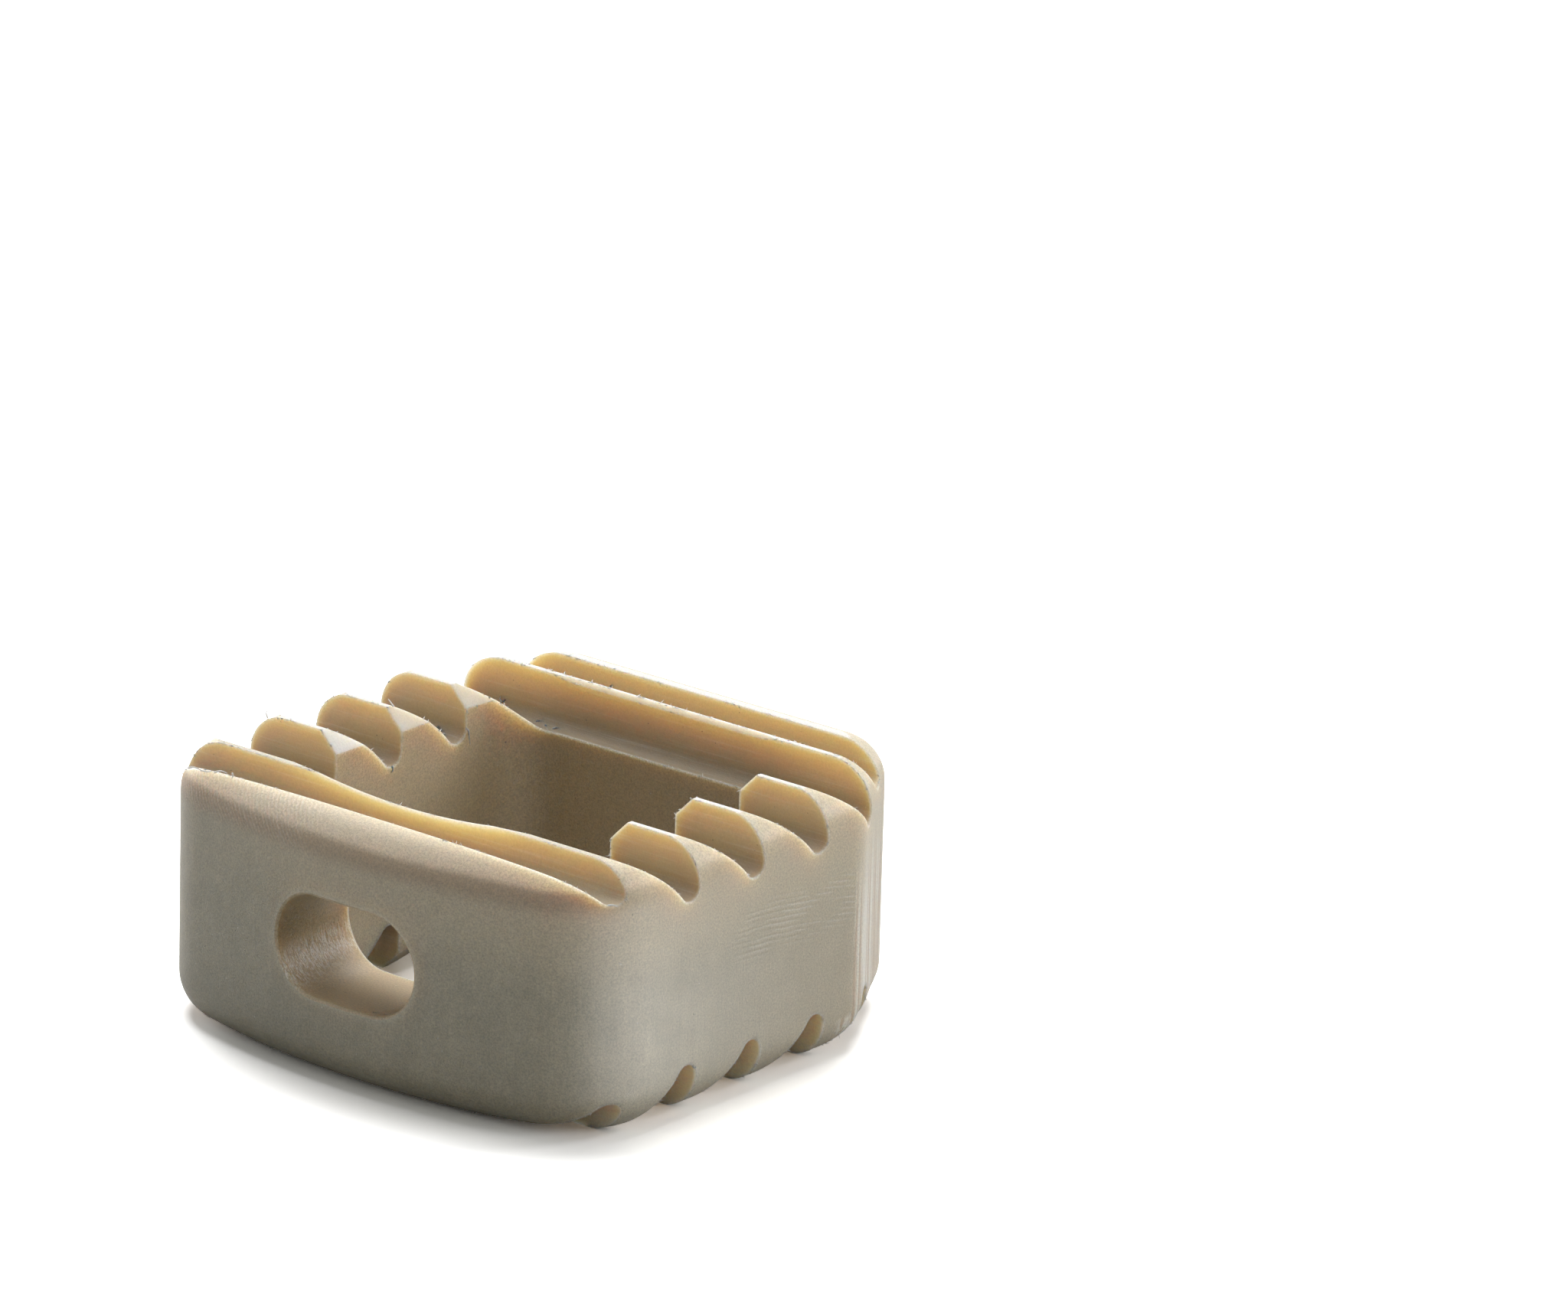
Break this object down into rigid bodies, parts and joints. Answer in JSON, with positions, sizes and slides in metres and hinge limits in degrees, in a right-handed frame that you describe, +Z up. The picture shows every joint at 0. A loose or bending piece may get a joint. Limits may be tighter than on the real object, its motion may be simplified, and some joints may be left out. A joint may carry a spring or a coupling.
{
  "type": "spinal interbody cage",
  "caption": "Rounded box-shaped spacer with a large graft window through it, an oblong inserter slot in its front wall and rows of backward-leaning teeth on its top and bottom.",
  "frame": {"origin": "middle of the footprint, at the level of the bottom tooth crests", "axes": "+X to the cage's right across its width, -Y out of the front wall with the inserter slot, +Y out of the flat rear wall, +Z up"},
  "size_m": [0.014, 0.014, 0.0066],
  "materials": {
    "natural_peek": "natural beige, slightly translucent, fine machined satin"
  },
  "bodies": {
    "root": {"cage_body": "natural_peek"}
  },
  "joints": []
}
